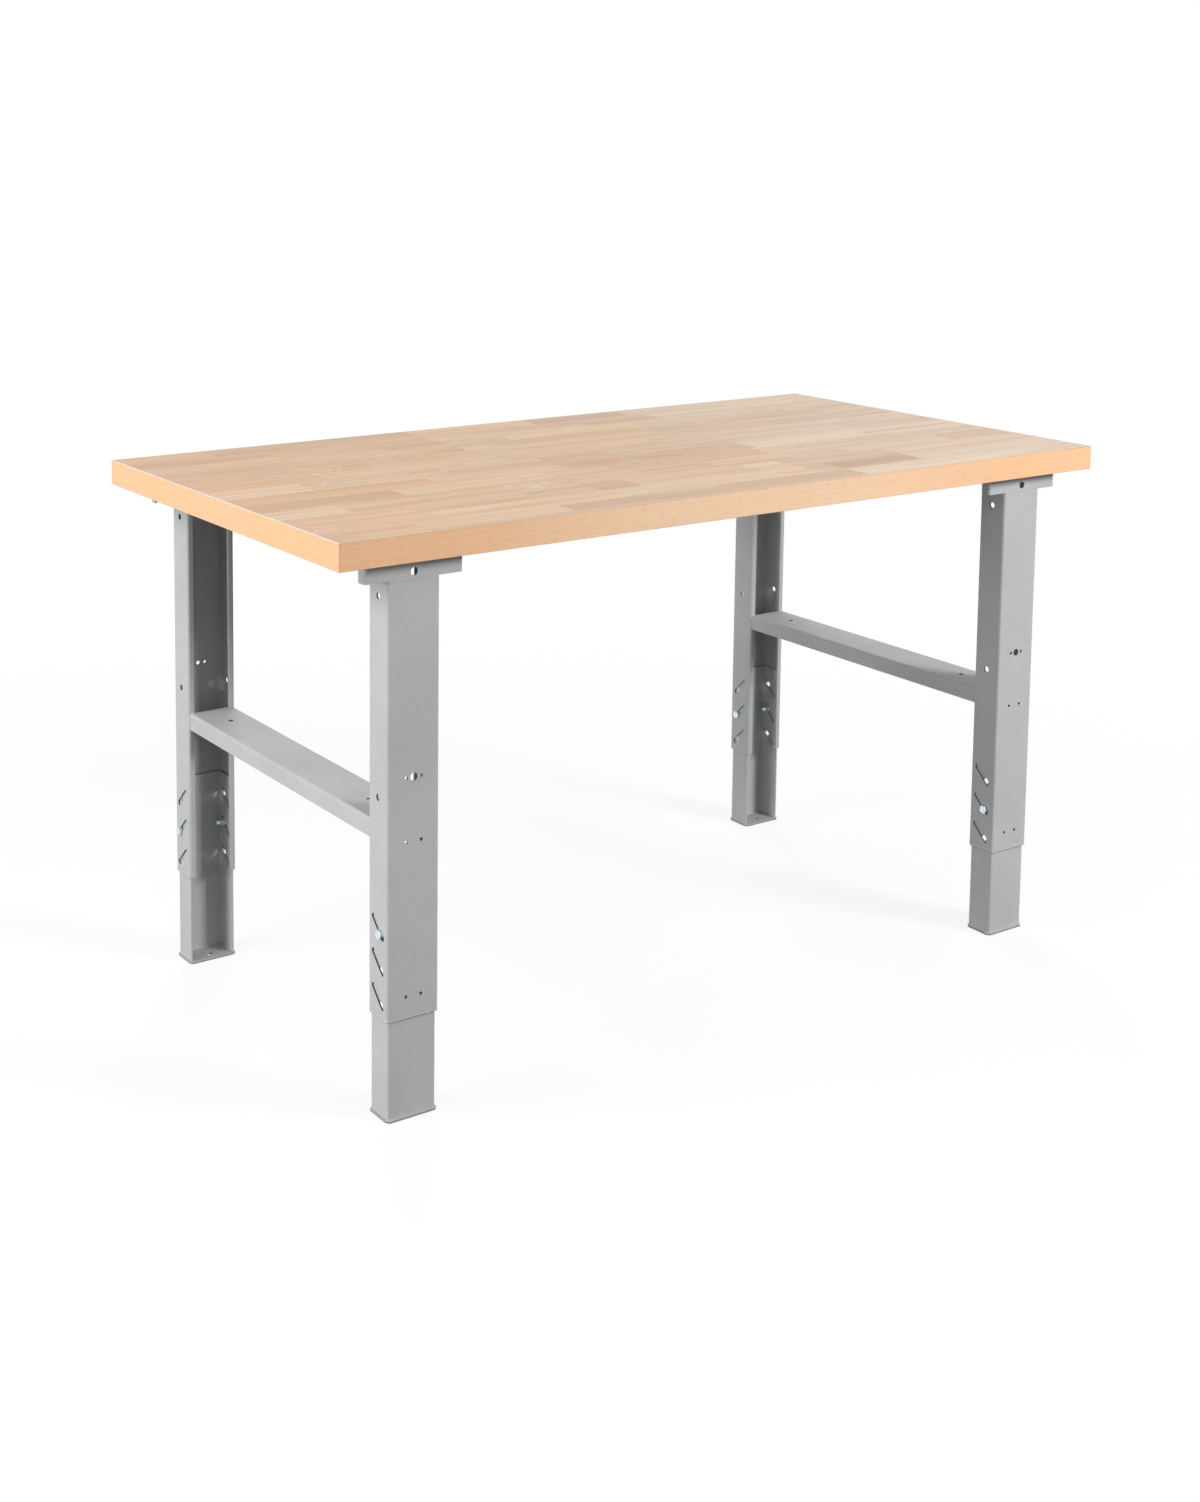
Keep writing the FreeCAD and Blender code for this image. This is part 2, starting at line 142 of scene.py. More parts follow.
class Finish:
    """A node material under construction, with short ways to add the nodes it needs."""

    def __init__(self, name):
        self.material = bpy.data.materials.new(name)
        self.material.use_nodes = True
        self.tree = self.material.node_tree
        self.tree.nodes.clear()
        self.output = self.tree.nodes.new("ShaderNodeOutputMaterial")
        self.shader = self.tree.nodes.new("ShaderNodeBsdfPrincipled")
        self.tree.links.new(self.shader.outputs[0], self.output.inputs[0])
        coordinates = self.tree.nodes.new("ShaderNodeTexCoord")
        self.place = coordinates.outputs["Object"]

    def put(self, value, socket):
        """Link a socket, or set a plain number or colour."""
        if isinstance(value, bpy.types.NodeSocket):
            self.tree.links.new(value, socket)
        else:
            socket.default_value = value

    def set(self, **values):
        """Link or set inputs of the shader by their names, with _ for a space."""
        for name, value in values.items():
            self.put(value, self.shader.inputs[name.replace("_", " ")])

    def calc(self, operation, a, b=0.0, c=0.0, clamp=False):
        """Result of a Math node."""
        node = self.tree.nodes.new("ShaderNodeMath")
        node.operation = operation
        node.use_clamp = clamp
        for value, socket in zip((a, b, c), node.inputs):
            self.put(value, socket)
        return node.outputs[0]

    def away(self, value, middle):
        """Distance of a number from a middle value."""
        return self.calc("ABSOLUTE", self.calc("SUBTRACT", value, middle))

    def within(self, a, a_middle, a_reach, b, b_middle, b_reach):
        """1 where both numbers lie within their reach of their middle values, else 0."""
        a_inside = self.calc("LESS_THAN", self.away(a, a_middle), a_reach)
        b_inside = self.calc("LESS_THAN", self.away(b, b_middle), b_reach)
        return self.calc("MULTIPLY", a_inside, b_inside)

    def split(self, vector):
        """The three numbers of a vector."""
        node = self.tree.nodes.new("ShaderNodeSeparateXYZ")
        self.put(vector, node.inputs[0])
        return node.outputs

    def gather(self, x, y, z):
        """A vector from three numbers."""
        node = self.tree.nodes.new("ShaderNodeCombineXYZ")
        for value, socket in zip((x, y, z), node.inputs):
            self.put(value, socket)
        return node.outputs[0]

    def moved(self, vector, amount):
        """The vector moved by the same amount along all axes, for a second pattern unlike the first."""
        node = self.tree.nodes.new("ShaderNodeVectorMath")
        self.put(vector, node.inputs[0])
        node.inputs[1].default_value = (amount, amount, amount)
        return node.outputs[0]

    def turned(self, vector, degrees, scale):
        """The vector turned about Z and stretched."""
        node = self.tree.nodes.new("ShaderNodeMapping")
        self.put(vector, node.inputs["Vector"])
        node.inputs["Rotation"].default_value = (0, 0, math.radians(degrees))
        node.inputs["Scale"].default_value = scale
        return node.outputs[0]

    def noise(self, vector, scale=1.0, detail=2.0, roughness=0.5, distortion=0.0):
        """Smooth random value between 0 and 1, with its middle at 0.5."""
        node = self.tree.nodes.new("ShaderNodeTexNoise")
        self.put(vector, node.inputs["Vector"])
        node.inputs["Scale"].default_value = scale
        node.inputs["Detail"].default_value = detail
        node.inputs["Roughness"].default_value = roughness
        node.inputs["Distortion"].default_value = distortion
        return node.outputs[0]

    def cells(self, vector, scale):
        """Random value of the nearest point of a scattered set."""
        node = self.tree.nodes.new("ShaderNodeTexVoronoi")
        self.put(vector, node.inputs["Vector"])
        node.inputs["Scale"].default_value = scale
        return self.split(node.outputs["Color"])[0]

    def fade(self, value, low, high, to_low=0.0, to_high=1.0):
        """Smooth step: to_low up to low, to_high from high on."""
        node = self.tree.nodes.new("ShaderNodeMapRange")
        node.interpolation_type = "SMOOTHSTEP"
        self.put(value, node.inputs["Value"])
        limits = {"From Min": low, "From Max": high, "To Min": to_low, "To Max": to_high}
        for name, number in limits.items():
            self.put(number, node.inputs[name])
        return node.outputs[0]

    def mix(self, share, a, b):
        """Colour a, with colour b over it by the share."""
        node = self.tree.nodes.new("ShaderNodeMix")
        node.data_type = "RGBA"
        sockets = {socket.identifier: socket for socket in node.inputs}
        self.put(share, sockets["Factor_Float"])
        self.put(a, sockets["A_Color"])
        self.put(b, sockets["B_Color"])
        return next(socket for socket in node.outputs if socket.identifier == "Result_Color")

    def scaled(self, colour, amount):
        """The colour times a number."""
        node = self.tree.nodes.new("ShaderNodeVectorMath")
        node.operation = "SCALE"
        self.put(colour, node.inputs[0])
        self.put(amount, node.inputs["Scale"])
        return node.outputs[0]

    def distance(self, a, b):
        """Distance between two points."""
        node = self.tree.nodes.new("ShaderNodeVectorMath")
        node.operation = "DISTANCE"
        self.put(a, node.inputs[0])
        self.put(b, node.inputs[1])
        return node.outputs["Value"]

    def value_of(self, name):
        """The number that the faces of the piece carry under a name."""
        node = self.tree.nodes.new("ShaderNodeAttribute")
        node.attribute_name = name
        return node.outputs["Fac"]

    def relief(self, height, depth, strength=1.0):
        """Bump of the given depth in metres."""
        node = self.tree.nodes.new("ShaderNodeBump")
        self.put(height, node.inputs["Height"])
        node.inputs["Distance"].default_value = depth
        node.inputs["Strength"].default_value = strength
        self.put(node.outputs[0], self.shader.inputs["Normal"])


def paint(hex_code):
    """Linear colour of a six-digit colour code."""
    parts = [int(hex_code[i : i + 2], 16) / 255 for i in (0, 2, 4)]
    return tuple(c / 12.92 if c <= 0.04045 else ((c + 0.055) / 1.055) ** 2.4 for c in parts) + (1.0,)


# Mask for the painted shade on the walls of the slots and holes of an upper leg
def leg_slot_walls(f):
    """1 within the thickness of the flanges and the web of an upper leg, else 0."""
    x, y, _ = f.split(f.place)
    from_axis = f.away(f.calc("ABSOLUTE", x), LEG_X)
    depth = f.calc("ABSOLUTE", y)
    flange = f.within(from_axis, FLANGE_MIDDLE, INSIDE_SHEET, depth, (WEB_Y + LIP_Y) / 2, 20 * MM)
    web = f.within(depth, WEB_Y - LEG_SHEET / 2, INSIDE_SHEET, from_axis, 0.0, 36 * MM)
    return f.calc("MAXIMUM", flange, web)


# Mask for the painted shade on the walls of the holes of a crossbar
def bar_hole_walls(f):
    """1 within the thickness of the level part of a crossbar, else 0."""
    x, _, z = f.split(f.place)
    from_axis = f.away(f.calc("ABSOLUTE", x), LEG_X)
    return f.within(z, BAR_TOP - LEG_SHEET / 2, INSIDE_SHEET, from_axis, 0.0, 34 * MM)


def powder_coat(name="powder_coat", shaded_lower_end=None, walls=None, shaded_upper_end=None, shaded_to_floor=False):
    """Light silver-grey powder coat: fine orange peel, a faint metallic grain and a few specks of dust.

    At the given height of a lower end, a dark line of painted shade runs along the edge, with a thin line
    of painted highlight and a few small scratches above it; at the given height of an upper end, a dark
    line of painted shade runs under it. Painted shade darkens the walls of slots and holes where the
    function walls gives 1. A plate on the floor gets painted shade: darker all over and darker still
    towards the floor.
    """
    f = Finish(name)
    z = f.split(f.place)[2]
    coarse = f.cells(f.place, 620)
    fine = f.cells(f.place, 1900)
    cloud = f.noise(f.place, 7, 3, 0.5)
    colour = f.mix(f.fade(cloud, 0.3, 0.7), paint("BFC1C0"), paint("C5C7C6"))
    colour = f.scaled(colour, f.fade(coarse, 0.0, 1.0, 0.965, 1.035))
    colour = f.scaled(colour, f.fade(fine, 0.0, 1.0, 0.955, 1.045))
    specks = f.fade(f.noise(f.place, 260, 0), 0.82, 0.86)
    colour = f.mix(f.calc("MULTIPLY", specks, 0.3), colour, paint("E8E9E7"))
    pits = f.fade(f.noise(f.moved(f.place, 3.7), 230, 0), 0.83, 0.87)
    colour = f.mix(f.calc("MULTIPLY", pits, 0.25), colour, paint("8E908F"))
    if shaded_lower_end is not None:
        # Painted shade: a dark line along the lower end, and above it a thin pale line of painted highlight
        above = f.calc("SUBTRACT", z, shaded_lower_end)
        colour = f.mix(f.fade(above, 0.5 * MM, 1.1 * MM, 0.55, 0.0), colour, paint("5C5E5D"))
        line = f.away(above, 1.7 * MM)
        colour = f.mix(f.fade(line, 0.2 * MM, 0.6 * MM, 0.45, 0.0), colour, paint("EEF0EF"))
        worn = f.fade(f.noise(f.turned(f.moved(f.place, 1.3), 20, (160, 160, 60)), 1.0, 1), 0.7, 0.73)
        worn = f.calc("MULTIPLY", worn, f.fade(above, 4 * MM, 26 * MM, 0.8, 0.0))
        colour = f.mix(worn, colour, paint("EEF0EF"))
    if walls is not None:
        # Painted shade on the walls of slots and holes
        colour = f.mix(f.calc("MULTIPLY", walls(f), 0.85), colour, paint("343635"))
    if shaded_upper_end is not None:
        # Painted shade: a dark line under the upper end
        edge = f.fade(z, shaded_upper_end - 0.9 * MM, shaded_upper_end - 0.2 * MM, 0.0, 0.75)
        colour = f.mix(edge, colour, paint("3E403F"))
    if shaded_to_floor:
        # Painted shade: darker all over and darker still towards the floor
        colour = f.scaled(colour, 0.86)
        colour = f.mix(f.fade(z, 0.4 * MM, 2.6 * MM, 0.6, 0.0), colour, paint("4E504F"))
    f.set(Base_Color=colour, Metallic=0.0)
    f.shader.inputs["Specular IOR Level"].default_value = 0.15
    f.set(Roughness=f.fade(f.noise(f.place, 60, 2), 0.3, 0.7, 0.44, 0.54))
    f.relief(f.noise(f.place, 700, 2, 0.6), 0.07 * MM, 0.55)
    return f.material


def zinc():
    """Bright zinc plating, slightly blue, with a fine uneven lustre."""
    f = Finish("zinc")
    cloud = f.noise(f.place, 420, 3, 0.6)
    colour = f.mix(cloud, paint("C6D2DA"), paint("E6EFF4"))
    f.set(Base_Color=colour, Metallic=1.0)
    f.set(Roughness=f.fade(cloud, 0.3, 0.7, 0.22, 0.38))
    f.relief(f.noise(f.place, 2500, 2), 0.02 * MM, 0.4)
    return f.material


def strip_wood():
    """Oiled strips of beech and oak, each with its own tone, lengthwise figure, grain, pores and flecks.

    The tone runs from dark through plain to pale. A painted sheen pales all of them slowly to the right and
    takes some warmth out of the strips there. Warm strips lean to peach and rosy ones to old rose. Flecks
    are short pale strokes slanted across the grain, in patches, as rays are in oak. Some strips have a line
    of pale sapwood along their rear edge, and a few a dark glue seam at their left end.
    """
    f = Finish("strip_wood")
    seed = f.value_of("strip_seed")
    x, y, _ = f.split(f.place)
    shifted = f.gather(
        f.calc("MULTIPLY_ADD", seed, 41.0, x),
        f.calc("MULTIPLY_ADD", seed, 17.0, y),
        f.calc("MULTIPLY", seed, 9.0),
    )
    figure = f.noise(f.turned(shifted, 0, (1.7, 30, 1)), 1.0, 4, 0.55, 0.8)
    bands = f.noise(f.turned(shifted, 0.4, (0.9, 95, 1)), 1.0, 2, 0.5)
    streaks = f.noise(f.turned(shifted, -0.3, (7, 340, 1)), 1.0, 3, 0.6)
    pores = f.noise(f.turned(shifted, 0, (70, 2100, 1)), 1.0, 2, 0.6)
    colour = f.mix(f.fade(f.value_of("strip_tone"), -1.5, 1.5), paint("C9A68B"), paint("E9D5BC"))
    # Painted sheen: all strips pale slowly towards the right
    colour = f.mix(f.fade(x, -0.4, 0.75, 0.0, 0.3), colour, paint("F0E4D8"))
    colour = f.mix(f.calc("MULTIPLY", f.value_of("strip_warmth"), 0.4), colour, paint("EFBF90"))
    colour = f.mix(f.calc("MULTIPLY", f.value_of("strip_blush"), 0.5), colour, paint("C6A194"))
    colour = f.mix(f.fade(figure, 0.42, 0.72, 0.0, 0.34), colour, paint("BF9A80"))
    colour = f.mix(f.fade(figure, 0.26, 0.46, 0.2, 0.0), colour, paint("EEDCC4"))
    colour = f.scaled(colour, f.fade(bands, 0.25, 0.75, 0.95, 1.045))
    colour = f.scaled(colour, f.fade(streaks, 0.25, 0.75, 0.955, 1.04))
    colour = f.scaled(colour, f.fade(pores, 0.3, 0.6, 0.94, 1.015))
    slanted = f.turned(shifted, -58, (75, 560, 1))
    strokes = f.fade(f.noise(slanted, 1.0, 1, 0.5), 0.56, 0.66)
    patches = f.fade(f.noise(shifted, 9, 2), 0.42, 0.55)
    flecks = f.calc("MULTIPLY", strokes, f.calc("MULTIPLY", patches, f.value_of("strip_flecks")))
    colour = f.mix(f.calc("MULTIPLY", flecks, 0.7, clamp=True), colour, paint("F4E5CB"))
    from_rear = f.calc("SUBTRACT", f.value_of("strip_rear"), y)
    rear_line = f.fade(from_rear, 0.5 * MM, 2.2 * MM, 0.8, 0.0)
    colour = f.mix(f.calc("MULTIPLY", rear_line, f.value_of("strip_sapwood")), colour, paint("F1DFC3"))
    from_left = f.calc("SUBTRACT", x, f.value_of("strip_left"))
    left_line = f.fade(from_left, 0.3 * MM, 1.0 * MM, 0.6, 0.0)
    colour = f.mix(f.calc("MULTIPLY", left_line, f.value_of("strip_seam")), colour, paint("8F6F55"))
    for knot_x, knot_y, half_length, half_width, strength, hue in KNOTS:
        squeezed = f.gather(f.calc("MULTIPLY", x, half_width / half_length), y, 0.0)
        near = f.distance(squeezed, (knot_x * half_width / half_length, knot_y, 0.0))
        dark = f.fade(near, half_width * 0.3, half_width * 1.5, strength, 0.0)
        colour = f.mix(dark, colour, paint(hue))
    f.set(Base_Color=colour, Metallic=0.0)
    f.shader.inputs["Specular IOR Level"].default_value = 0.2
    f.set(Roughness=f.fade(streaks, 0.3, 0.7, 0.56, 0.66))
    f.relief(pores, 0.03 * MM, 0.35)
    return f.material


def edge_band():
    """Beech veneer band: peach ground with fine lengthwise flecks, dark dots and slow changes of tone.

    Its lower arris is a lighter orange. The upper one is an olive-brown seam along the long front side, and
    at the ends and the rear a painted highlight and reflection, pale bluish on the left and greyer on the
    right. The middle of the front band is paler and rosier, and the left band warmer. A hairline shows
    where bands meet at a corner.
    """
    f = Finish("edge_band")
    x, y, z = f.split(f.place)
    along = f.calc("ADD", x, y)
    drawn = f.gather(f.calc("MULTIPLY", along, 55), 0.0, f.calc("MULTIPLY", z, 900))
    flecks = f.fade(f.noise(drawn, 1.0, 1, 0.5), 0.54, 0.68)
    wide = f.gather(f.calc("MULTIPLY", along, 3.2), 0.0, f.calc("MULTIPLY", z, 130))
    bands = f.noise(wide, 1.0, 3, 0.6)
    slow = f.noise(f.gather(f.calc("MULTIPLY", along, 1.6), 0.0, 0.0), 1.0, 1, 0.5)
    colour = f.mix(f.fade(slow, 0.35, 0.65), paint("FECB9E"), paint("FDCBA2"))
    mid_front = f.fade(f.away(x, -0.03), 0.15, 0.6, 0.75, 0.0)
    paler = f.calc("MULTIPLY", mid_front, f.calc("LESS_THAN", y, 0.0))
    colour = f.mix(paler, colour, paint("FFDDBB"))
    colour = f.scaled(colour, f.fade(bands, 0.25, 0.75, 0.965, 1.03))
    at_left = f.calc("LESS_THAN", x, -BAND_SEAM)
    colour = f.mix(f.calc("MULTIPLY", at_left, 0.5), colour, paint("F2BC8C"))
    colour = f.mix(f.calc("MULTIPLY", flecks, 0.3), colour, paint("DDA173"))
    dotted = f.gather(f.calc("MULTIPLY", along, 240), 0.0, f.calc("MULTIPLY", z, 700))
    dots = f.fade(f.noise(dotted, 1.0, 0), 0.74, 0.8)
    colour = f.mix(f.calc("MULTIPLY", dots, 0.35), colour, paint("B97F57"))
    colour = f.mix(f.fade(z, LOW_ARRIS, LOW_ARRIS + 0.5 * MM, 0.6, 0.0), colour, paint("FFC089"))
    at_front = f.calc("LESS_THAN", y, BEHIND_FRONT)
    high = f.fade(z, HIGH_ARRIS, HIGH_ARRIS + 0.4 * MM)
    colour = f.mix(f.calc("MULTIPLY", high, f.fade(at_front, 0.0, 1.0, 0.0, 0.75)), colour, paint("A8875F"))
    # Painted highlight and reflection along the upper arris at the ends and the rear
    arris_reflection = f.mix(f.calc("GREATER_THAN", along, 0.3), paint("DDE4E6"), paint("B4B8BC"))
    colour = f.mix(f.calc("MULTIPLY", high, f.fade(at_front, 0.0, 1.0, 0.85, 0.0)), colour, arris_reflection)
    from_seam = f.away(f.calc("ABSOLUTE", x), BAND_SEAM)
    colour = f.mix(f.fade(from_seam, 0.1 * MM, 0.35 * MM, 0.55, 0.0), colour, paint("B07B52"))
    f.set(Base_Color=colour, Metallic=0.0, Roughness=f.fade(bands, 0.3, 0.7, 0.38, 0.48))
    f.shader.inputs["Specular IOR Level"].default_value = 0.35
    f.relief(flecks, 0.02 * MM, -0.4)
    return f.material


def core_board():
    """Raw chipboard: small mixed chips."""
    f = Finish("core_board")
    chips = f.cells(f.turned(f.place, 0, (1, 1.7, 2)), 450)
    colour = f.mix(chips, paint("A9825C"), paint("D9BE97"))
    f.set(Base_Color=colour, Roughness=0.85)
    f.relief(chips, 0.1 * MM, 0.5)
    return f.material


def backing_sheet():
    """Balancing sheet under the board: pale paper laminate with a fine fibre mottle."""
    f = Finish("backing_sheet")
    mottle = f.noise(f.place, 240, 4, 0.65)
    colour = f.mix(f.fade(mottle, 0.3, 0.7), paint("C9BFAE"), paint("D8CFBF"))
    f.set(Base_Color=colour, Roughness=0.6)
    f.relief(mottle, 0.02 * MM, 0.3)
    return f.material


# Worktop strips

# Joints of the strips in each row, from the rear row to the front one, in millimetres from the left end
STRIP_ROWS = {
    "A": (162, 555, 815, 1030, 1270),
    "B": (250, 555, 885, 1060, 1270),
    "C": (250, 430, 558, 680, 970, 1120, 1325),
    "D": (270, 548, 620, 945, 1120, 1380),
    "E": (120, 465, 548, 620, 945, 1190, 1375),
    "F": (220, 470, 560, 885, 1005, 1215, 1330),
    "G": (158, 412, 605, 740, 995, 1285),
    "H": (350, 598, 990, 1260),
    "I": (255, 538, 655, 975, 1290),
    "J": (122, 415, 532, 670, 820, 970, 1110, 1350),
    "K": (205, 410, 530, 605, 850, 925, 1165),
    "L": (215, 540, 862, 930, 978, 1155),
    "M": (50, 150, 402, 700, 975, 1290),
}

# Strips that stand out: row and place in the row, tone from dark to pale, and how rose they are
MARKED_STRIPS = {
    "A0": (-0.2, 0.0), "A1": (-0.3, 0.0), "A3": (-0.3, 0.2), "A4": (0.2, 0.0), "A5": (0.4, 0.0),
    "B0": (-0.4, 0.05), "B1": (-0.2, 0.0), "B4": (0.3, 0.0), "B5": (0.45, 0.0),
    "E6": (-0.15, 0.5), "E7": (-0.2, 0.5), "F0": (-0.45, 0.05),
    "G0": (0.95, 0.0), "H0": (-0.3, 0.0), "H2": (-0.4, 0.3), "H3": (0.9, 0.0), "H4": (0.55, 0.0),
    "I0": (-0.5, 0.1), "I1": (0.45, 0.0), "J0": (0.6, 0.0), "J8": (-0.25, 0.5), "K3": (-0.5, 0.35),
    "L1": (0.5, 0.0), "L2": (0.45, 0.0), "L5": (-0.55, 0.9), "M5": (0.8, 0.0), "M6": (0.55, 0.0),
    "M2": (0.3, 0.0), "M3": (-0.2, 0.1), "M4": (-0.15, 0.1),
}
FLECKED_STRIPS = ("C3", "C4", "D4", "G1", "D1", "E1", "L0", "H2", "L3", "J2", "C6")
SEAMED_STRIPS = ("A2", "D2", "E3", "F3", "I2", "J3", "K3", "M5")

# Pin knots and grey smudges: distance from the left end and from the rear edge, half length and half
# width in millimetres, strength, colour
KNOTS = [
    ((from_left - HALF_LENGTH) * MM, (HALF_DEPTH - from_rear) * MM, long * MM, wide * MM, strength, hue)
    for from_left, from_rear, long, wide, strength, hue in (
        (480, 490, 8.0, 4.0, 0.42, "8C7260"), (338, 513, 5.0, 2.4, 0.45, "86705F"),
        (400, 353, 9.0, 4.0, 0.3, "8C7260"), (745, 493, 6.0, 2.6, 0.4, "86705F"),
        (1063, 490, 8.0, 3.0, 0.45, "86705F"), (435, 595, 9.0, 3.8, 0.35, "8C7260"),
        (165, 485, 15.0, 5.0, 0.2, "A08E86"), (1317, 512, 24.0, 4.0, 0.22, "A5938A"),
        (1010, 372, 12.0, 4.0, 0.2, "A08E86"), (1240, 208, 20.0, 5.0, 0.22, "A5938A"),
        (1115, 130, 16.0, 4.0, 0.2, "A08E86"), (585, 388, 7.0, 2.5, 0.3, "8C7260"),
    )
]

# Half the hairline between two strips, and the bevel along their upper edges
HALF_JOINT = 0.02 * MM
STRIP_BEVEL = 0.12 * MM


def strip_box(x_low, x_high, y_low, y_high, z_low, z_high, bevel):
    """Corners of boxes with limits in rows: rings at the bottom, below the bevel and on the top face."""
    rings = []
    for inset, z in ((0.0, z_low), (0.0, z_high - bevel), (bevel, z_high)):
        left, right, near, far = x_low + inset, x_high - inset, y_low + inset, y_high - inset
        for x, y in ((left, near), (right, near), (right, far), (left, far)):
            rings.append(np.stack([x, y, np.full_like(x, z)], -1))
    return np.stack(rings, 1)


def worktop_strips(finish):
    """Closed box with fine bevels for every strip, hairline joints between them, in one mesh."""
    low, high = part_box("worktop_surface")
    random = np.random.default_rng(11)
    names, spans = [], []
    depth = (high.y - low.y) / len(STRIP_ROWS)
    for number, (row, joints) in enumerate(STRIP_ROWS.items()):
        ends = [low.x] + [(joint - HALF_LENGTH) * MM for joint in joints] + [high.x]
        for place, (start, end) in enumerate(zip(ends, ends[1:])):
            names.append(row + str(place))
            spans.append((start, end, high.y - (number + 1) * depth, high.y - number * depth))
    spans = np.array(spans)
    x_low = np.maximum(spans[:, 0] + HALF_JOINT, low.x)
    x_high = np.minimum(spans[:, 1] - HALF_JOINT, high.x)
    y_low = np.maximum(spans[:, 2] + HALF_JOINT, low.y)
    y_high = np.minimum(spans[:, 3] - HALF_JOINT, high.y)
    corners = strip_box(x_low, x_high, y_low, y_high, low.z, high.z, STRIP_BEVEL)
    per_strip = skin(3, 4)
    starts = (np.arange(len(names)) * corners.shape[1])[:, None, None]
    faces = (per_strip + starts).reshape(-1, 4)
    piece = make_piece("worktop_strips", corners.reshape(-1, 3), faces, finish, "bench_frame")
    # Unmarked strips draw their looks at random, and middle runs from -1 on the left to 1 on the right
    middle = (spans[:, 0] + spans[:, 1]) / 2 / high.x
    tone = np.clip(random.normal(0, 0.2, len(names)), -0.45, 0.45) - 0.05 * middle
    blush = random.uniform(0, 0.27, len(names)) * (tone < 0) * (0.6 + 0.4 * middle)
    # The warmth falls off to the right as part of the painted sheen
    warmth = np.clip(random.normal(0.35, 0.2, len(names)) - 0.4 * middle, 0, 1)
    flecks = random.uniform(0, 0.35, len(names))
    sapwood = random.uniform(0, 1, len(names)) > 0.7
    seam = np.array([name in SEAMED_STRIPS for name in names])
    for number, name in enumerate(names):
        if name in MARKED_STRIPS:
            tone[number], blush[number] = MARKED_STRIPS[name]
        if name in FLECKED_STRIPS:
            flecks[number] = 1.0
    seed = random.uniform(0, 1, len(names))
    values = {"tone": tone, "blush": blush, "warmth": warmth, "flecks": flecks, "sapwood": sapwood}
    values.update({"seam": seam, "rear": spans[:, 3], "left": spans[:, 0], "seed": seed})
    for name, value in values.items():
        face_values(piece, "strip_" + name, np.repeat(value, len(per_strip)))
    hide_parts("worktop_surface")


# Clamping bolts

BOLT_RADIUS = 4.0 * MM
BOLT_LENGTH = 20.0 * MM
THREAD_PITCH = 1.25 * MM
THREAD_DEPTH = 0.68 * MM
HEX_HALF_FLATS = 6.5 * MM
HEX_CROWN = 6.11 * MM
HEAD_HEIGHT = 5.3 * MM
DISH_DEPTH = 0.35 * MM
THREAD_START = 1.0 * MM
THREAD_END = 19.0 * MM
RINGS_PER_TURN = 6


def hex_bolt(columns=96):
    """Hexagon bolt about its own axis: t runs from the bearing face into the thread.

    Head: radius is the hexagon's, half flats / cos(angle from the middle of a flat), cut by a crown cone
    of 30 degrees; its end has a shallow round dish. Thread: radius = bolt radius - depth * V(turn), where
    turn = t / pitch - angle / full circle and V is a triangle wave from 0 at the crest to 1 at the root.
    """
    angle = np.arange(columns) * 2 * math.pi / columns
    from_flat = (angle + math.pi / 6) % (math.pi / 3) - math.pi / 6
    hexagon = HEX_HALF_FLATS / np.cos(from_flat)
    drop = (hexagon - HEX_CROWN) * math.tan(math.radians(30))
    flat = np.zeros(columns)
    rings = [
        (flat + 0.62 * HEX_CROWN, flat - HEAD_HEIGHT + DISH_DEPTH),
        (flat + 0.74 * HEX_CROWN, flat - HEAD_HEIGHT + 0.02 * MM),
        (flat + HEX_CROWN, flat - HEAD_HEIGHT),
        (hexagon, drop - HEAD_HEIGHT),
        (hexagon - 0.1 * MM, flat - 0.1 * MM),
        (hexagon - 0.3 * MM, flat),
        (flat + BOLT_RADIUS, flat),
    ]
    for t in np.arange(THREAD_START, THREAD_END, THREAD_PITCH / RINGS_PER_TURN):
        turn = (t / THREAD_PITCH - angle / (2 * math.pi)) % 1.0
        wave = 1 - np.abs(2 * turn - 1)
        runout = np.clip((t - THREAD_START) / THREAD_PITCH, 0, 1)
        rings.append((BOLT_RADIUS - THREAD_DEPTH * wave * runout, flat + t))
    rings.append((flat + BOLT_RADIUS - 0.8 * MM, flat + BOLT_LENGTH - 0.1 * MM))
    rings.append((flat + BOLT_RADIUS - 1.1 * MM, flat + BOLT_LENGTH))
    radius = np.array([r for r, _ in rings])
    along = np.array([t for _, t in rings])
    return radius, along, angle


def leg_bolts(end, side, finish):
    """Both clamping bolts of a leg, where the frame has them."""
    leg = end + "_" + side
    low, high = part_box(leg + "_clamping_bolts")
    radius, along, angle = hex_bolt()
    middle_y, middle_z = (low.y + high.y) / 2, (low.z + high.z) / 2
    parts = []
    for way, face in ((1, low.x), (-1, high.x)):
        x = face + way * (HEAD_HEIGHT + along)
        y = middle_y - radius * np.sin(angle) * way
        z = middle_z + radius * np.cos(angle)
        points = np.stack([x, y, z], -1).reshape(-1, 3)
        parts.append((points, skin(*radius.shape)))
    points, faces = join(parts)
    piece = make_piece(leg + "_threaded_bolts", points, faces, finish, leg + "_bolts")
    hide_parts(leg + "_clamping_bolts")


# Welds

# Length of one ripple, distance between rings, corners of a ring, and share of the full size at the ends
RIPPLE = 2.6 * MM
RING_STEP = 0.45 * MM
BEAD_CORNERS = 16
BLUNT_END = 0.08

# Length of each coordinate of a unit vector halfway between two axes
SLOPE = 1 / math.sqrt(2)


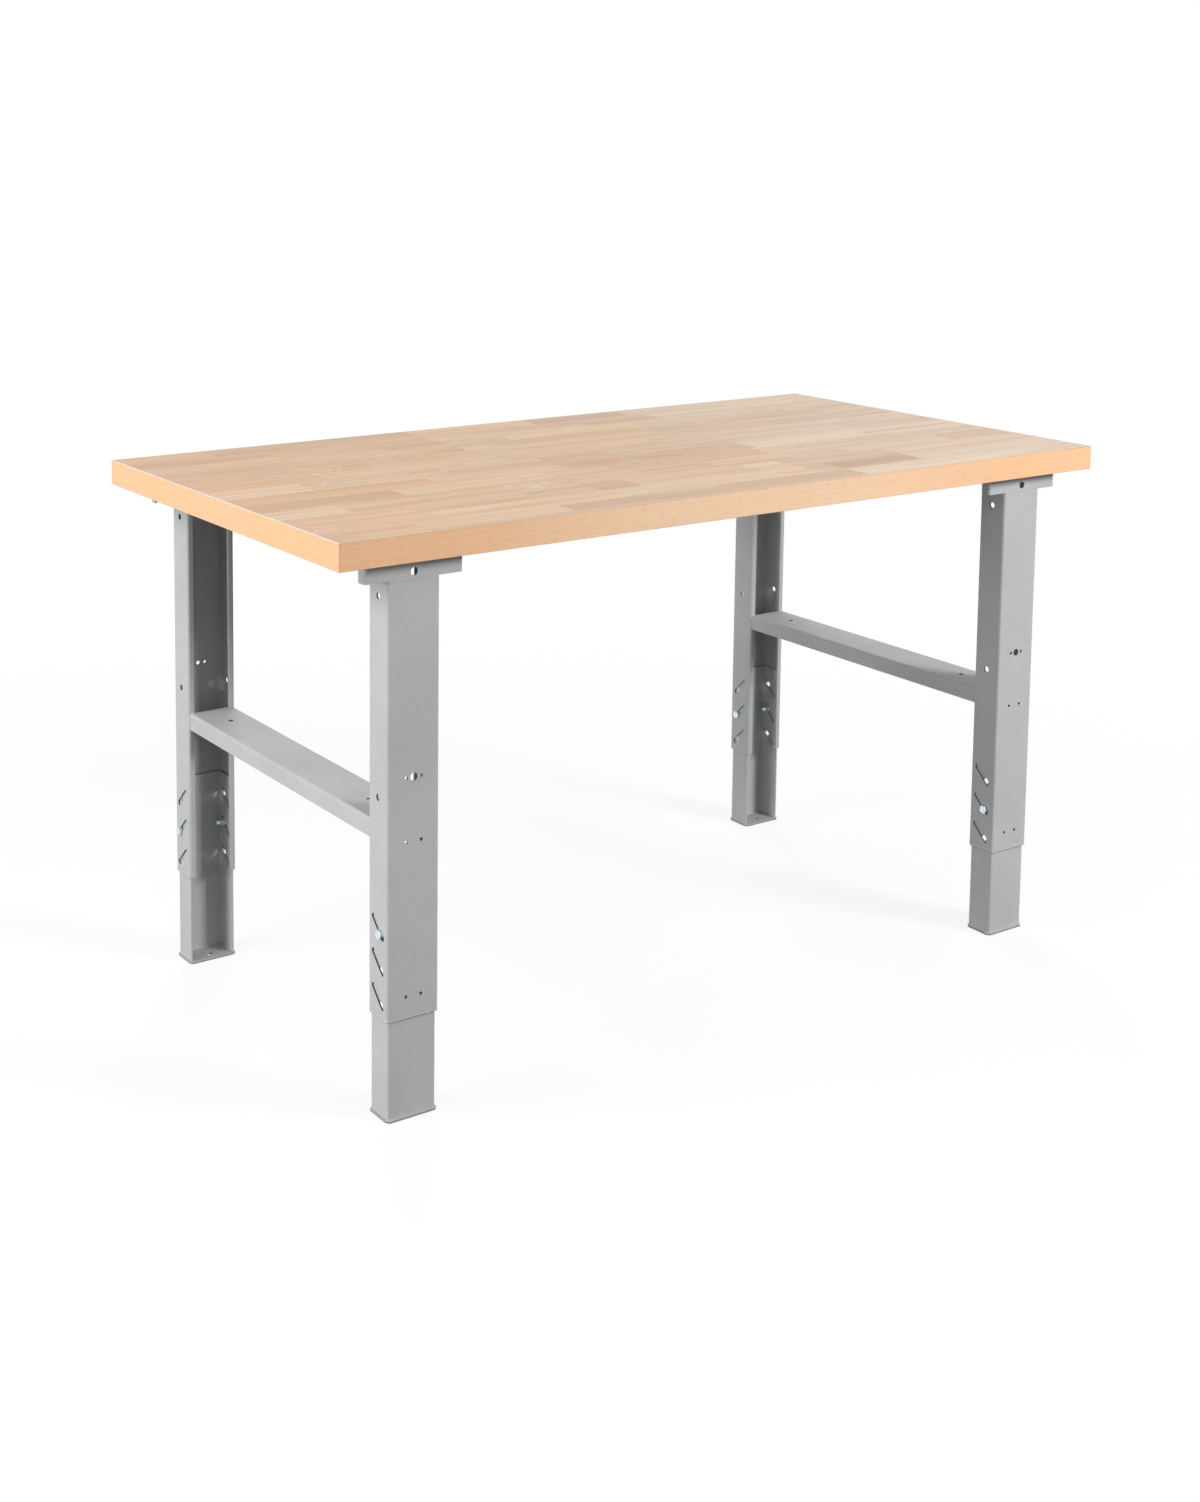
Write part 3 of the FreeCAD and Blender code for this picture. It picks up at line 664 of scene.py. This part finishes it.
def weld_bead(start, end, across, outward, width, height, seed):
    """Painted bead along a line, half sunk in the metal.

    Section: an ellipse, width across and height outward. Along the line, with s from -1 to 1, its height
    is rippled by 1 + 0.18 * |sin|, its width swells a little by two sines, and both taper by the fourth
    root of 1 - s to the eighth down to small flat ends.
    """
    start, end = np.array(start, float), np.array(end, float)
    across, outward = np.array(across, float), np.array(outward, float)
    length = np.linalg.norm(end - start)
    stations = max(int(length / RING_STEP), 12)
    s = np.linspace(-1, 1, stations)
    random = np.random.default_rng(seed)
    phase = random.uniform(0, 6, 3)
    ripple = 1 + 0.18 * np.abs(np.sin(s * length / RIPPLE + phase[0]))
    swell = 1 + 0.12 * np.sin(s * 5 + phase[1]) + 0.08 * np.sin(s * 13 + phase[2])
    taper = np.maximum(1 - s**8, BLUNT_END**4) ** 0.25
    angle = np.arange(BEAD_CORNERS) * 2 * math.pi / BEAD_CORNERS
    wide = (width / 2 * taper * swell)[:, None, None] * np.cos(angle)[None, :, None] * across
    tall = (height * taper * ripple)[:, None, None] * np.sin(angle)[None, :, None] * outward
    line = ((start + end) / 2 + (end - start) / 2 * s[:, None])[:, None, :]
    points = (line + wide + tall).reshape(-1, 3)
    faces = skin(stations, BEAD_CORNERS)
    if np.dot(np.cross(end - start, across), outward) < 0:
        faces = faces[:, ::-1]
    return points, faces


def frame_welds(finish):
    """Beads of the two end frames: crossbar to lips, and rail to web."""
    for side, sign in SIDES.items():
        x = sign * LEG_X
        parts = []
        for number, way in enumerate(ENDS.values()):
            y = way * LIP_Y
            for edge in (-1, 1):
                wall = x + edge * BAR_HALF_WIDTH
                start, stop = (wall, y, BAR_TOP - BAR_HEIGHT + 1 * MM), (wall, y, BAR_TOP - 4 * MM)
                across, outward = (edge * SLOPE, way * SLOPE, 0), (edge * SLOPE, -way * SLOPE, 0)
                parts.append(weld_bead(start, stop, across, outward, 4.6 * MM, 1.5 * MM, 10 + number))
                start, stop = (x + edge * LIP_EDGE, y, BAR_TOP), (wall - edge * 3 * MM, y, BAR_TOP)
                across, outward = (0, way * SLOPE, SLOPE), (0, -way * SLOPE, SLOPE)
                parts.append(weld_bead(start, stop, across, outward, 4.0 * MM, 1.2 * MM, 20 + number))
            y = way * WEB_Y
            start, stop = (x - 39 * MM, y, RAIL_LOWER_EDGE), (x + 39 * MM, y, RAIL_LOWER_EDGE)
            across, outward = (0, 0, 1), (0, way, 0)
            parts.append(weld_bead(start, stop, across, outward, 2.6 * MM, 0.22 * MM, 30 + number))
        points, faces = join(parts)
        make_piece(side + "_frame_welds", points, faces, finish, "bench_frame", smooth=True)


def foot_welds(end, side, finish):
    """Beads inside the foot, where the lower leg stands on its plate."""
    leg = end + "_" + side
    x, way = SIDES[side] * LEG_X, ENDS[end]
    y = way * LOWER_WEB_INNER_Y
    start, stop = (x - 24 * MM, y, FOOT_TOP), (x + 24 * MM, y, FOOT_TOP)
    across, outward = (0, way * SLOPE, SLOPE), (0, -way * SLOPE, SLOPE)
    parts = [weld_bead(start, stop, across, outward, 5.0 * MM, 1.6 * MM, 40)]
    for edge in (-1, 1):
        wall = x + edge * LOWER_INNER_HALF
        start, stop = (wall, y - way * 12 * MM, FOOT_TOP), (wall, y - way * 34 * MM, FOOT_TOP)
        across, outward = (edge * SLOPE, 0, SLOPE), (-edge * SLOPE, 0, SLOPE)
        parts.append(weld_bead(start, stop, across, outward, 4.6 * MM, 1.5 * MM, 41))
    points, faces = join(parts)
    make_piece(leg + "_foot_welds", points, faces, finish, leg + "_leg", smooth=True)


# Room, light and camera

# Half width of the floor and its height in metres, its grey for the eye and for the light it throws back,
# and the strength of the light from the room itself
FLOOR_REACH = 30.0
FLOOR_HEIGHT = -0.5 * MM
FLOOR_SEEN = (0.95, 0.95, 0.95, 1)
FLOOR_LIT = (0.08, 0.08, 0.08, 1)
ROOM_LIGHT = 0.42


def seen_ray(tree):
    """1 for a camera, glossy or transmission ray, else 0."""
    rays = tree.nodes.new("ShaderNodeLightPath")
    seen = rays.outputs["Is Camera Ray"]
    for name in ("Is Glossy Ray", "Is Transmission Ray"):
        larger = tree.nodes.new("ShaderNodeMath")
        larger.operation = "MAXIMUM"
        tree.links.new(seen, larger.inputs[0])
        tree.links.new(rays.outputs[name], larger.inputs[1])
        seen = larger.outputs[0]
    return seen


def floor():
    """Pale floor that keeps the soft shadow near the bench and runs out into plain white."""
    mesh = bpy.data.meshes.new("floor")
    sides = ((-1, -1), (1, -1), (1, 1), (-1, 1))
    corners = [(x * FLOOR_REACH, y * FLOOR_REACH, FLOOR_HEIGHT) for x, y in sides]
    mesh.from_pydata(corners, [], [(0, 1, 2, 3)])
    plane = bpy.data.objects.new("floor", mesh)
    bpy.context.scene.collection.objects.link(plane)
    f = Finish("floor")
    f.tree.nodes.remove(f.shader)
    matt = f.tree.nodes.new("ShaderNodeBsdfDiffuse")
    white = f.tree.nodes.new("ShaderNodeEmission")
    white.inputs["Color"].default_value = (1, 1, 1, 1)
    x, y, _ = f.split(f.place)
    from_bench = f.distance(f.gather(x, y, 0.0), (0.0, 0.0, 0.0))
    seen = seen_ray(f.tree)
    f.put(f.mix(seen, FLOOR_LIT, FLOOR_SEEN), matt.inputs["Color"])
    share = f.calc("MULTIPLY", seen, f.fade(from_bench, 0.9, 2.6, 0.84, 1.0))
    blend = f.tree.nodes.new("ShaderNodeMixShader")
    f.put(share, blend.inputs[0])
    f.put(matt.outputs[0], blend.inputs[1])
    f.put(white.outputs[0], blend.inputs[2])
    f.put(blend.outputs[0], f.output.inputs[0])
    mesh.materials.append(f.material)


def world():
    """White where a camera, glossy or transmission ray sees it, dim for the light it gives."""
    room = bpy.data.worlds.new("studio")
    bpy.context.scene.world = room
    room.use_nodes = True
    tree = room.node_tree
    tree.nodes.clear()
    blend = tree.nodes.new("ShaderNodeMixShader")
    tree.links.new(seen_ray(tree), blend.inputs[0])
    for strength, socket in ((ROOM_LIGHT, blend.inputs[1]), (1.0, blend.inputs[2])):
        background = tree.nodes.new("ShaderNodeBackground")
        background.inputs["Color"].default_value = (1, 1, 1, 1)
        background.inputs["Strength"].default_value = strength
        tree.links.new(background.outputs[0], socket)
    out = tree.nodes.new("ShaderNodeOutputWorld")
    tree.links.new(blend.outputs[0], out.inputs[0])


def softbox(name, place, target, size, power, mirrored=False):
    """Area lamp aimed at a target, unseen by the camera, which leaves a gloss only if it is mirrored."""
    lamp = bpy.data.lights.new(name, "AREA")
    lamp.shape = "RECTANGLE"
    lamp.size, lamp.size_y = size
    lamp.energy = power
    holder = bpy.data.objects.new(name, lamp)
    holder.visible_camera = False
    holder.visible_glossy = mirrored
    holder.location = place
    holder.rotation_euler = (Vector(target) - Vector(place)).to_track_quat("-Z", "Y").to_euler()
    bpy.context.scene.collection.objects.link(holder)


def camera():
    """Camera of the photograph, fitted to the corners of the worktop and the legs in 1200 x 1502 pixels.

    It looks along ahead, which is turned by yaw about Z and dips by pitch, and right and up are rolled
    about it.
    """
    yaw, pitch, roll = math.radians(-33.185), math.radians(6.481), math.radians(0.321)
    level = np.array([math.cos(yaw), math.sin(yaw), 0])
    ahead = np.array([-math.sin(yaw) * math.cos(pitch), math.cos(yaw) * math.cos(pitch), -math.sin(pitch)])
    upright = np.cross(level, ahead)
    right = level * math.cos(roll) + upright * math.sin(roll)
    up = upright * math.cos(roll) - level * math.sin(roll)

    data = bpy.data.cameras.new("camera")
    data.sensor_fit = "HORIZONTAL"
    data.sensor_width = 36
    data.lens = 60.822
    data.shift_x = 0.11667
    data.shift_y = -0.34667
    holder = bpy.data.objects.new("camera", data)
    columns = np.stack([right, up, -ahead], 1)
    turned = Matrix(columns.tolist()).to_4x4()
    turned.translation = (-2.06738, -2.68122, 1.43691)
    holder.matrix_world = turned
    bpy.context.scene.collection.objects.link(holder)
    bpy.context.scene.camera = holder


# The bench

LOWER_LEG_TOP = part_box("front_left_lower_leg")[1].z
RAIL_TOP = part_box("left_top_rail")[1].z

finishes = {
    "powder_coat": powder_coat(),
    # Upper legs: painted shade at their lower end and on the walls of their slots and holes
    "leg_powder_coat": powder_coat("leg_powder_coat", shaded_lower_end=UPPER_LEG_END, walls=leg_slot_walls),
    # Lower legs and rails: painted shade under their upper ends
    "lower_leg_powder_coat": powder_coat("lower_leg_powder_coat", shaded_upper_end=LOWER_LEG_TOP),
    "rail_powder_coat": powder_coat("rail_powder_coat", shaded_upper_end=RAIL_TOP),
    # Crossbars: painted shade on the walls of their holes
    "bar_powder_coat": powder_coat("bar_powder_coat", walls=bar_hole_walls),
    # Foot plates: painted shade, darker towards the floor
    "foot_powder_coat": powder_coat("foot_powder_coat", shaded_to_floor=True),
    "zinc": zinc(),
    "strip_wood": strip_wood(),
    "edge_band": edge_band(),
    "core_board": core_board(),
    "backing_sheet": backing_sheet(),
}

# Finish of each kind of CAD node, by a part of its name
NODE_FINISHES = {
    "worktop_core": "core_board",
    "worktop_surface": "strip_wood",
    "worktop_backing": "backing_sheet",
    "edge_band": "edge_band",
    "bolts": "zinc",
    "washers": "zinc",
    "nuts": "zinc",
    "screws": "zinc",
    "upper_leg": "leg_powder_coat",
    "lower_leg": "lower_leg_powder_coat",
    "top_rail": "rail_powder_coat",
    "crossbar": "bar_powder_coat",
    "foot_plate": "foot_powder_coat",
}

for node_name, node in frame["nodes"].items():
    finish_name = next(name for kind, name in NODE_FINISHES.items() if kind in node_name)
    if not node.material_slots:
        node.data.materials.append(None)
    for slot in node.material_slots:
        slot.material = finishes[finish_name]

worktop_strips(finishes["strip_wood"])
frame_welds(finishes["powder_coat"])
for end, side in LEGS:
    leg_bolts(end, side, finishes["zinc"])
    foot_welds(end, side, finishes["powder_coat"])

floor()
world()
# Lamps: place, target, width and height in metres, power in watts
softbox("left_light", (-4.6, -0.5, 1.05), (-0.4, 0, 0.5), (1.2, 1.0), 81, mirrored=True)
softbox("high_left_light", (-3.6, 0.6, 2.6), (-0.3, 0, 0.5), (1.4, 1.2), 54)
softbox("front_right_light", (2.3, -3.4, 2.4), (0.3, 0, 0.5), (1.2, 1.0), 138)
softbox("rear_light", (2.2, 4.8, 3.2), (0, 0, 0.6), (2.0, 1.6), 92)
camera()
bpy.context.scene.view_settings.view_transform = "Standard"
